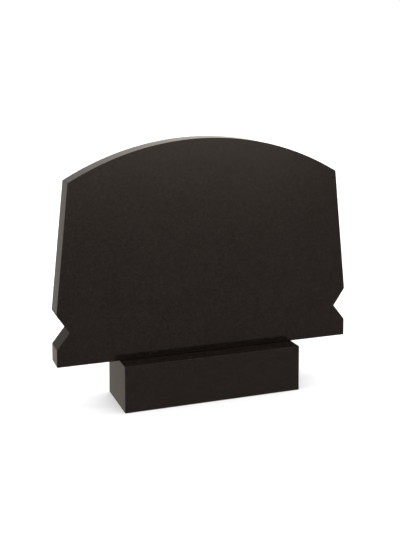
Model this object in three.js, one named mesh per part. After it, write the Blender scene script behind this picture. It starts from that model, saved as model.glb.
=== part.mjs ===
// A headstone of polished black granite, made of two stones. The stele is a wide upright slab with a
// low arched top and a notch cut into each side above its feet. The plinth is a shorter, deeper block,
// and the stele stands on its middle.
// Millimetres, +Z up. The origin is the middle of the plinth's underside. +X runs along the width, and
// the face for the inscription looks towards -Y.

import * as THREE from "three";

// Stele
const STELE_WIDTH = 1000; // across the feet, and again across the lower shoulders
const STELE_HEIGHT = 700; // from the underside to the crown of the arch
const STELE_THICKNESS = 80;
const ARCH_RISE = 126; // from the upper shoulders to the crown
const SIDE_LEAN = 40; // how far each side draws in between its lower and upper shoulders
const FOOT_HEIGHT = 56; // the upright end of each foot
const NOTCH_DEPTH = 40; // from the end of the foot in to the root of the notch
const NOTCH_LOWER_RISE = 51; // from the top of the foot's end up to the root
const NOTCH_UPPER_RISE = 57; // from the root up to the lower shoulder

// Plinth
const PLINTH_WIDTH = 600;
const PLINTH_DEPTH = 200;
const PLINTH_HEIGHT = 150;

// Edges and joint
const STELE_ARRIS = 1.5; // each edge is eased by a small flat, cut back this far along both faces
const PLINTH_ARRIS = 1.5;
const BED_JOINT = 0.3; // the hairline joint between the two stones

// How finely the arch is stepped, and the sharpest turn between two steps that is still a curve
const ARCH_STEPS = 72;
const SMOOTH_TURN = THREE.MathUtils.degToRad(10);

// The stele's front outline, with its underside on y = 0, walked anticlockwise from the right foot
function steleOutline() {
  const halfWidth = STELE_WIDTH / 2;
  const notchRoot = FOOT_HEIGHT + NOTCH_LOWER_RISE;
  const side = [
    [halfWidth, 0],
    [halfWidth, FOOT_HEIGHT],
    [halfWidth - NOTCH_DEPTH, notchRoot],
    [halfWidth, notchRoot + NOTCH_UPPER_RISE],
  ];

  // The arch is one arc through both upper shoulders and the crown
  const archHalf = halfWidth - SIDE_LEAN;
  const radius = (archHalf ** 2 + ARCH_RISE ** 2) / (2 * ARCH_RISE);
  const halfAngle = Math.atan2(archHalf, radius - ARCH_RISE);
  const straightUp = Math.PI / 2;

  const outline = new THREE.Path();
  outline.moveTo(...side[0]);
  side.slice(1).forEach(([x, y]) => outline.lineTo(x, y));
  outline.lineTo(archHalf, STELE_HEIGHT - ARCH_RISE);
  outline.absarc(0, STELE_HEIGHT - radius, radius, straightUp - halfAngle, straightUp + halfAngle);
  side.toReversed().forEach(([x, y]) => outline.lineTo(-x, y));
  return outline.getPoints(ARCH_STEPS / 2);
}

function rectangleOutline(width, depth) {
  return [
    new THREE.Vector2(width / 2, -depth / 2),
    new THREE.Vector2(width / 2, depth / 2),
    new THREE.Vector2(-width / 2, depth / 2),
    new THREE.Vector2(-width / 2, -depth / 2),
  ];
}

// Cuts each outward corner of an anticlockwise outline back to a flat, and leaves curves and inward
// corners as they are
function easeCorners(points, arris) {
  return points.flatMap((corner, i) => {
    const behind = points.at(i - 1).clone().sub(corner).normalize();
    const ahead = points[(i + 1) % points.length].clone().sub(corner).normalize();
    if (ahead.cross(behind) < Math.sin(SMOOTH_TURN)) return [corner];
    return [behind, ahead].map((way) => corner.clone().addScaledVector(way, arris));
  });
}

// The outline drawn out from z = 0 to z = depth, with an arris round both of its faces
function extrudeStone(outline, depth, arris) {
  const eased = new THREE.Shape(easeCorners(outline, arris));
  const geometry = new THREE.ExtrudeGeometry(eased, {
    depth: depth - 2 * arris,
    bevelThickness: arris,
    bevelSize: arris,
    bevelOffset: -arris,
    bevelSegments: 1,
  });
  return geometry.translate(0, 0, arris);
}

function polishedGranite() {
  return new THREE.MeshStandardMaterial({ color: 0x2a2421, roughness: 0.1, metalness: 0 });
}

function makePlinth() {
  const outline = rectangleOutline(PLINTH_WIDTH, PLINTH_DEPTH);
  const plinth = new THREE.Mesh(extrudeStone(outline, PLINTH_HEIGHT, PLINTH_ARRIS), polishedGranite());
  plinth.name = "plinth";
  return plinth;
}

// The outline is drawn lying down, so the slab is centred in its thickness and then stood up
function makeStele() {
  const slab = extrudeStone(steleOutline(), STELE_THICKNESS, STELE_ARRIS);
  slab.translate(0, 0, -STELE_THICKNESS / 2).rotateX(Math.PI / 2);
  const stele = new THREE.Mesh(slab, polishedGranite());
  stele.name = "stele";
  stele.position.z = PLINTH_HEIGHT + BED_JOINT;
  return stele;
}

const headstone = new THREE.Group();
headstone.add(makePlinth(), makeStele());

export default headstone;
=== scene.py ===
import math

import bmesh
import bpy
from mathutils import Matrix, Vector


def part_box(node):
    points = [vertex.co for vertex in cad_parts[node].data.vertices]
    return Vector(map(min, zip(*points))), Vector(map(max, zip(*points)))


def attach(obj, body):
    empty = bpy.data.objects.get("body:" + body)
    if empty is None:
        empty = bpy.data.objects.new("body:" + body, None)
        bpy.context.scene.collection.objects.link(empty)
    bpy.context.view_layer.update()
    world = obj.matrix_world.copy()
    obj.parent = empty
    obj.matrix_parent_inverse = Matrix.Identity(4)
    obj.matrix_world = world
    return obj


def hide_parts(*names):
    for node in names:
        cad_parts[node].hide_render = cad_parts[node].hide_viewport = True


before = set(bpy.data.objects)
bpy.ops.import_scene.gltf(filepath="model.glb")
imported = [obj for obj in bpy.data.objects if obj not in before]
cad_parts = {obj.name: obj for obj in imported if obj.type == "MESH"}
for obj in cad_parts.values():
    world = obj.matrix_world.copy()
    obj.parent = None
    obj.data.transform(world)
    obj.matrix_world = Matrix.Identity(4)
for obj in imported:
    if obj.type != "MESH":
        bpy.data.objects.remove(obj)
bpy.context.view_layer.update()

# The stele's outline, as far as its box doesn't give it
ARCH_RISE = 0.126  # from the upper shoulders to the crown
SIDE_LEAN = 0.040  # how far each side draws in between its lower and upper shoulders
FOOT_HEIGHT = 0.056  # the upright end of each foot
NOTCH_DEPTH = 0.040
NOTCH_LOWER_RISE = 0.051  # from the top of the foot's end up to the root of the notch
NOTCH_UPPER_RISE = 0.057  # from the root up to the lower shoulder
ARCH_STEPS = 144

# Every outward edge of a stone is eased by hand to a small flat with soft borders
ARRIS = 0.0015
ARRIS_STEPS = 3
ARRIS_SHARPNESS = 0.4  # 0.25 is a plain flat and 0.5 a full round
EASED_TURN = math.radians(30)  # edges that turn less are part of a curve
INWARD_TURN = math.radians(-5)  # edges that turn in more than this stay crisp
DOWNWARD = -0.9  # a face whose normal falls below this is an underside

# The grain: crystals in loose clusters, paler flecks between them, and slow changes across a slab
CRYSTAL_SIZE = 0.0024
CRYSTAL_SKEW = 1.6  # above 1, dark crystals are commoner than pale ones
CLUSTER_SIZE = 0.011
CLUSTER_DETAIL = 3.0
CLUSTER_SWING = 0.12  # how much darker or paler a cluster can be, where 1 is from dark to pale
CLOUD_SIZE = 0.12
CLOUD_SWING = 0.06
NOISE_SPAN = (0.3, 0.7)  # most values of soft noise lie between these
FLECK_SIZE = 0.0016
FLECK_SHARE = 0.05
FLECK_BORDER = (0.5, 0.2)  # a fleck fades in between these distances from its middle, in cells
DARK_CRYSTAL = (0.0023, 0.0010, 0.0007, 1)
PALE_CRYSTAL = (0.0096, 0.0075, 0.0062, 1)
FLECK = (0.036, 0.030, 0.025, 1)

# The polish
POLISHED_TINT = (1.0, 0.91, 0.86, 1)
STONE_IOR = 1.5
LEAST_ROUGHNESS = 0.03
PALE_ROUGHNESS = 0.05  # how much rougher the palest crystals are
HAZE_ROUGHNESS = 0.08  # how much rougher the polish is where its haze is thickest
HAZE_DETAIL = 4.0
WAVE_SIZE = 0.06  # the faint waviness that the polishing heads leave
WAVE_HEIGHT = 0.000012

# The sawn undersides
SAWN_DARK = (0.050, 0.046, 0.042, 1)
SAWN_PALE = (0.125, 0.117, 0.108, 1)
SAWN_ROUGHNESS = 0.82
FLECK_ROUGHNESS = -0.2  # added on the flecks
SAW_PITCH = 0.0045  # from one of the blade's lines to the next
SAW_SHARE = 0.35  # how much of the tone is those lines
SAW_WAVER = 1.5
SAW_DETAIL = 2.0
SAW_DETAIL_SCALE = 1.5
SAW_DEPTH = 0.00012
GRAIN_DEPTH = 0.5  # as a share of the lines' depth
WAVE_LINES = 20 / math.tau  # the Wave node draws so many lines in one unit of its scaled coordinates

# Camera, at the viewing angle of the reference picture
CAMERA_PLACE = (-1.0096, -2.7291, 1.1026)
CAMERA_YAW = math.radians(20.012)  # turned to the right of straight ahead
CAMERA_PITCH = math.radians(-5.412)
CAMERA_LENS = 60.741  # millimetres, on a 36 mm long side
CAMERA_SHIFT = -0.23

# What the polished faces mirror, by direction. In front is an even field with a band of light along
# the horizon. The wall at the back is lighter below the horizon and to the right, and warmer low down
# on the left. It has a soft light above it and a wide window at its far left. Each span gives the values
# of the direction's X, Y or Z, from -1 to 1, between which a change runs.
ROOM_TINT = (1.0, 0.927, 0.85, 1)
WARM_TINT = (1.0, 0.88, 0.795, 1)
WARM_SPAN_DOWN = (-0.24, -0.3)
WARM_SPAN_LEFT = (0.0, -0.15)
BEHIND_SPAN = (-0.3, 0.3)
FRONT_LEVEL = 0.28
BAND_PEAK = 2.8
BAND_MOST = 0.8  # the band is cut off at this level
BAND_FALL = 15.7  # how fast the band fades away from the horizon
BAND_RIGHT = 0.55  # what is left of the band at its far right
BAND_SPAN = (0.4, 0.48)
BACK_BELOW = 0.68
BACK_ABOVE = 0.385
BACK_SPAN = (-0.1, 0.05)
BACK_SLOPE = 1.25  # how fast the wall brightens to the right
BACK_LEAST, BACK_MOST = 0.28, 0.85
WINDOW_LEVEL = 0.5
WINDOW_SPAN = (-0.45, -0.75)
OVERHEAD_LEVEL = 0.6
OVERHEAD_SPAN = (0.16, 0.6)

# The room itself, with a wide soft light in its ceiling, and its floor
WHITE = (1, 1, 1, 1)
ROOM_LEVEL = 1.05
CEILING_LEVEL = 5.2  # how much brighter the light in the ceiling is
CEILING_SPAN = (0.75, 0.85)
FLOOR_SIZE = 40.0
FLOOR_COLOUR = (0.45, 0.45, 0.45, 1)
FLOOR_GLOW = 0.2


def set_inputs(tree, node, inputs):
    """Gives each input of a node a value, or a link where the value is a socket."""
    for key, value in inputs.items():
        if isinstance(value, bpy.types.NodeSocket):
            tree.links.new(value, node.inputs[key])
        else:
            node.inputs[key].default_value = value


def add(tree, kind, inputs=None, **settings):
    """A new shader node."""
    made = tree.nodes.new("ShaderNode" + kind)
    for name, value in settings.items():
        setattr(made, name, value)
    set_inputs(tree, made, inputs or {})
    return made


def calc(tree, operation, *values):
    """The result of a Math node."""
    return add(tree, "Math", dict(enumerate(values)), operation=operation).outputs[0]


def blend_colours(tree, share, first, second):
    """A colour that goes from the first to the second as share goes from 0 to 1."""
    mixed = add(tree, "Mix", data_type="RGBA")
    colours = [i for i, socket in enumerate(mixed.inputs) if socket.type == "RGBA"]
    set_inputs(tree, mixed, dict(zip(["Factor", *colours], (share, first, second))))
    return next(socket for socket in mixed.outputs if socket.type == "RGBA")


def ramp(tree, value, start, end, low=0.0, high=1.0):
    """A smooth step from low to high as value goes from start to end."""
    inputs = {"Value": value, "From Min": start, "From Max": end, "To Min": low, "To Max": high}
    return add(tree, "MapRange", inputs, interpolation_type="SMOOTHSTEP").outputs["Result"]


def noise(tree, where, size, detail=2.0):
    """Soft noise whose waves are about this long, from 0 to 1."""
    return add(tree, "TexNoise", {"Vector": where, "Scale": 1 / size, "Detail": detail}).outputs["Fac"]


def crystals(tree, where, size):
    """Cells about this large: (a random number for each, the distance from its middle)."""
    cells = add(tree, "TexVoronoi", {"Vector": where, "Scale": 1 / size})
    number = add(tree, "SeparateXYZ", {0: cells.outputs["Color"]}).outputs["X"]
    return number, cells.outputs["Distance"]


def new_material(name):
    """A new material, its node tree and its shader."""
    material = bpy.data.materials.new(name)
    material.use_nodes = True
    return material, material.node_tree, material.node_tree.nodes["Principled BSDF"]


def new_object(name, data):
    """A new object in the scene."""
    made = bpy.data.objects.new(name, data)
    bpy.context.collection.objects.link(made)
    return made


def stone_grain(tree, where):
    """How pale the stone is at a point, from 0 to 1, and where its few pale flecks are."""
    body, _ = crystals(tree, where, CRYSTAL_SIZE)
    skewed = calc(tree, "POWER", body, CRYSTAL_SKEW)
    clusters = noise(tree, where, CLUSTER_SIZE, CLUSTER_DETAIL)
    cluster = ramp(tree, clusters, *NOISE_SPAN, -CLUSTER_SWING, CLUSTER_SWING)
    cloud = ramp(tree, noise(tree, where, CLOUD_SIZE), *NOISE_SPAN, -CLOUD_SWING, CLOUD_SWING)
    pale = calc(tree, "ADD", calc(tree, "ADD", skewed, cluster), cloud)
    number, distance = crystals(tree, where, FLECK_SIZE)
    chosen = calc(tree, "LESS_THAN", number, FLECK_SHARE)
    fleck = calc(tree, "MULTIPLY", chosen, ramp(tree, distance, *FLECK_BORDER))
    return add(tree, "Clamp", {"Value": pale}).outputs[0], fleck


def polished_granite():
    """Near black with a brown cast. Nearly all that shows on it is what it mirrors."""
    material, tree, shader = new_material("polished_granite")
    where = add(tree, "TexCoord").outputs["Object"]
    pale, fleck = stone_grain(tree, where)
    stone = blend_colours(tree, pale, DARK_CRYSTAL, PALE_CRYSTAL)
    haze = noise(tree, where, CLUSTER_SIZE, HAZE_DETAIL)
    rougher = calc(tree, "ADD", calc(tree, "MULTIPLY", pale, PALE_ROUGHNESS),
                   calc(tree, "MULTIPLY", haze, HAZE_ROUGHNESS))
    waves = add(tree, "Bump", {"Height": noise(tree, where, WAVE_SIZE), "Distance": WAVE_HEIGHT})
    set_inputs(tree, shader, {
        "Base Color": blend_colours(tree, fleck, stone, FLECK),
        "Roughness": calc(tree, "ADD", rougher, LEAST_ROUGHNESS),
        "Normal": waves.outputs["Normal"],
        "IOR": STONE_IOR,
        "Specular Tint": POLISHED_TINT,
    })
    return material


def sawn_granite():
    """The undersides, left from the saw: grey and rough, with the blade's lines across them."""
    material, tree, shader = new_material("sawn_granite")
    where = add(tree, "TexCoord").outputs["Object"]
    pale, fleck = stone_grain(tree, where)
    marks = {"Vector": where, "Scale": 1 / (WAVE_LINES * SAW_PITCH), "Distortion": SAW_WAVER,
             "Detail": SAW_DETAIL, "Detail Scale": SAW_DETAIL_SCALE}
    blade = add(tree, "TexWave", marks, bands_direction="X").outputs["Fac"]
    scored = calc(tree, "MULTIPLY_ADD", blade, SAW_SHARE, calc(tree, "MULTIPLY", pale, 1 - SAW_SHARE))
    height = calc(tree, "ADD", blade, calc(tree, "MULTIPLY", pale, GRAIN_DEPTH))
    relief = add(tree, "Bump", {"Height": height, "Distance": SAW_DEPTH})
    set_inputs(tree, shader, {
        "Base Color": blend_colours(tree, scored, SAWN_DARK, SAWN_PALE),
        "Roughness": calc(tree, "ADD", calc(tree, "MULTIPLY", fleck, FLECK_ROUGHNESS), SAWN_ROUGHNESS),
        "Normal": relief.outputs["Normal"],
    })
    return material


def stele_outline(half_width, bottom, top):
    """Points (x, z) of the stele's front, anticlockwise from the right foot."""
    root = bottom + FOOT_HEIGHT + NOTCH_LOWER_RISE
    side = [
        (half_width, bottom),
        (half_width, bottom + FOOT_HEIGHT),
        (half_width - NOTCH_DEPTH, root),
        (half_width, root + NOTCH_UPPER_RISE),
    ]
    arch_half = half_width - SIDE_LEAN
    radius = (arch_half**2 + ARCH_RISE**2) / (2 * ARCH_RISE)
    half_angle = math.atan2(arch_half, radius - ARCH_RISE)
    angles = [half_angle * (1 - 2 * i / ARCH_STEPS) for i in range(ARCH_STEPS + 1)]
    arch = [(radius * math.sin(a), top - radius * (1 - math.cos(a))) for a in angles]
    return side + arch + [(-x, z) for x, z in reversed(side)]


def stone_mesh(name, near_end, far_end, materials):
    """A closed mesh between two like rings of points, with its outward edges eased. It is of the first
    material, with the second on its underside."""
    count = len(near_end)
    shell = bmesh.new()
    points = [shell.verts.new(point) for point in near_end + far_end]
    shell.faces.new(points[:count])
    shell.faces.new(points[count:])
    for i in range(count):
        j = (i + 1) % count
        shell.faces.new((points[i], points[j], points[count + j], points[count + i]))
    bmesh.ops.recalc_face_normals(shell, faces=shell.faces)
    for face in shell.faces:
        face.material_index = int(face.normal.z < DOWNWARD)
    outward = [edge for edge in shell.edges if edge.calc_face_angle_signed() > EASED_TURN]
    bmesh.ops.bevel(shell, geom=outward, offset=ARRIS, offset_type="OFFSET", segments=ARRIS_STEPS,
                    profile=ARRIS_SHARPNESS, affect="EDGES", material=0)
    for face in shell.faces:
        face.smooth = True
    for edge in shell.edges:
        edge.smooth = edge.calc_face_angle_signed() > INWARD_TURN

    mesh = bpy.data.meshes.new(name)
    shell.to_mesh(mesh)
    shell.free()
    for material in materials:
        mesh.materials.append(material)
    return mesh


def make_stone(name, node, near_end, far_end, materials):
    """A stone in place of a CAD node, drawn between two like rings of points."""
    piece = new_object(name, stone_mesh(name, near_end, far_end, materials))
    piece.modifiers.new("flat_faces", "WEIGHTED_NORMAL").keep_sharp = True
    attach(piece, "root")
    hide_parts(node)


def make_stones():
    materials = (polished_granite(), sawn_granite())
    low, high = (Vector(corner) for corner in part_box("stele"))
    outline = stele_outline(high.x, low.z, high.z)
    front = [(x, low.y, z) for x, z in outline]
    back = [(x, high.y, z) for x, z in outline]
    make_stone("stele_stone", "stele", front, back, materials)

    low, high = (Vector(corner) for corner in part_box("plinth"))
    corners = [(high.x, low.y), (high.x, high.y), (low.x, high.y), (low.x, low.y)]
    underside = [(x, y, low.z) for x, y in corners]
    bed = [(x, y, high.z) for x, y in corners]
    make_stone("plinth_stone", "plinth", underside, bed, materials)


def mirrored_room(tree, way):
    """The light that comes from a direction, as the polished faces mirror it."""
    fade = calc(tree, "EXPONENT", calc(tree, "MULTIPLY", calc(tree, "ABSOLUTE", way["Z"]), -BAND_FALL))
    band = calc(tree, "MINIMUM", calc(tree, "MULTIPLY", fade, BAND_PEAK), BAND_MOST)
    dimmed = calc(tree, "MULTIPLY", band, ramp(tree, way["X"], *BAND_SPAN, 1.0, BAND_RIGHT))
    front = calc(tree, "ADD", dimmed, FRONT_LEVEL)

    height = ramp(tree, way["Z"], *BACK_SPAN, BACK_BELOW, BACK_ABOVE)
    sloped = calc(tree, "MULTIPLY_ADD", way["X"], BACK_SLOPE, height)
    wall = add(tree, "Clamp", {"Value": sloped, "Min": BACK_LEAST, "Max": BACK_MOST}).outputs[0]
    overhead = ramp(tree, way["Z"], *OVERHEAD_SPAN, 0.0, OVERHEAD_LEVEL)
    window = ramp(tree, way["X"], *WINDOW_SPAN)
    back = calc(tree, "MULTIPLY_ADD", window, WINDOW_LEVEL, calc(tree, "ADD", wall, overhead))

    behind = ramp(tree, way["Y"], *BEHIND_SPAN)
    level = add(tree, "Mix", {"Factor": behind, "A": front, "B": back})
    low_left = calc(tree, "MULTIPLY", ramp(tree, way["Z"], *WARM_SPAN_DOWN),
                    ramp(tree, way["X"], *WARM_SPAN_LEFT))
    warm = calc(tree, "MULTIPLY", behind, calc(tree, "SUBTRACT", low_left, window))
    tint = blend_colours(tree, warm, ROOM_TINT, WARM_TINT)
    lit = add(tree, "VectorMath", {0: tint, "Scale": level.outputs["Result"]}, operation="SCALE")
    return lit.outputs[0]


def make_room():
    """A white room. The polished faces alone see the graded one."""
    world = bpy.data.worlds.new("room")
    bpy.context.scene.world = world
    world.use_nodes = True
    tree = world.node_tree
    tree.nodes.clear()
    way = add(tree, "SeparateXYZ", {0: add(tree, "TexCoord").outputs["Generated"]}).outputs
    brightness = ramp(tree, way["Z"], *CEILING_SPAN, ROOM_LEVEL, ROOM_LEVEL + CEILING_LEVEL)
    plain = add(tree, "Background", {"Color": WHITE, "Strength": brightness})
    graded = add(tree, "Background", {"Color": mirrored_room(tree, way), "Strength": 1.0})
    seen_in_polish = add(tree, "LightPath").outputs["Is Glossy Ray"]
    both = add(tree, "MixShader", {0: seen_in_polish, 1: plain.outputs[0], 2: graded.outputs[0]})
    add(tree, "OutputWorld", {"Surface": both.outputs[0]})


def make_floor():
    material, tree, shader = new_material("floor")
    set_inputs(tree, shader, {
        "Base Color": FLOOR_COLOUR,
        "Roughness": 1.0,
        "Specular IOR Level": 0.0,
        "Emission Color": WHITE,
        "Emission Strength": FLOOR_GLOW,
    })
    half = FLOOR_SIZE / 2
    corners = [(-half, -half, 0), (half, -half, 0), (half, half, 0), (-half, half, 0)]
    mesh = bpy.data.meshes.new("floor")
    mesh.from_pydata(corners, [], [(0, 1, 2, 3)])
    mesh.materials.append(material)
    floor = new_object("floor", mesh)
    floor.visible_glossy = False


def make_camera():
    lens = bpy.data.cameras.new("camera")
    lens.lens = CAMERA_LENS
    lens.shift_y = CAMERA_SHIFT
    camera = new_object("camera", lens)
    camera.location = CAMERA_PLACE
    camera.rotation_euler = (math.pi / 2 + CAMERA_PITCH, 0, -CAMERA_YAW)
    bpy.context.scene.camera = camera


make_camera()
make_room()
make_floor()
make_stones()
bpy.context.scene.view_settings.view_transform = "Standard"
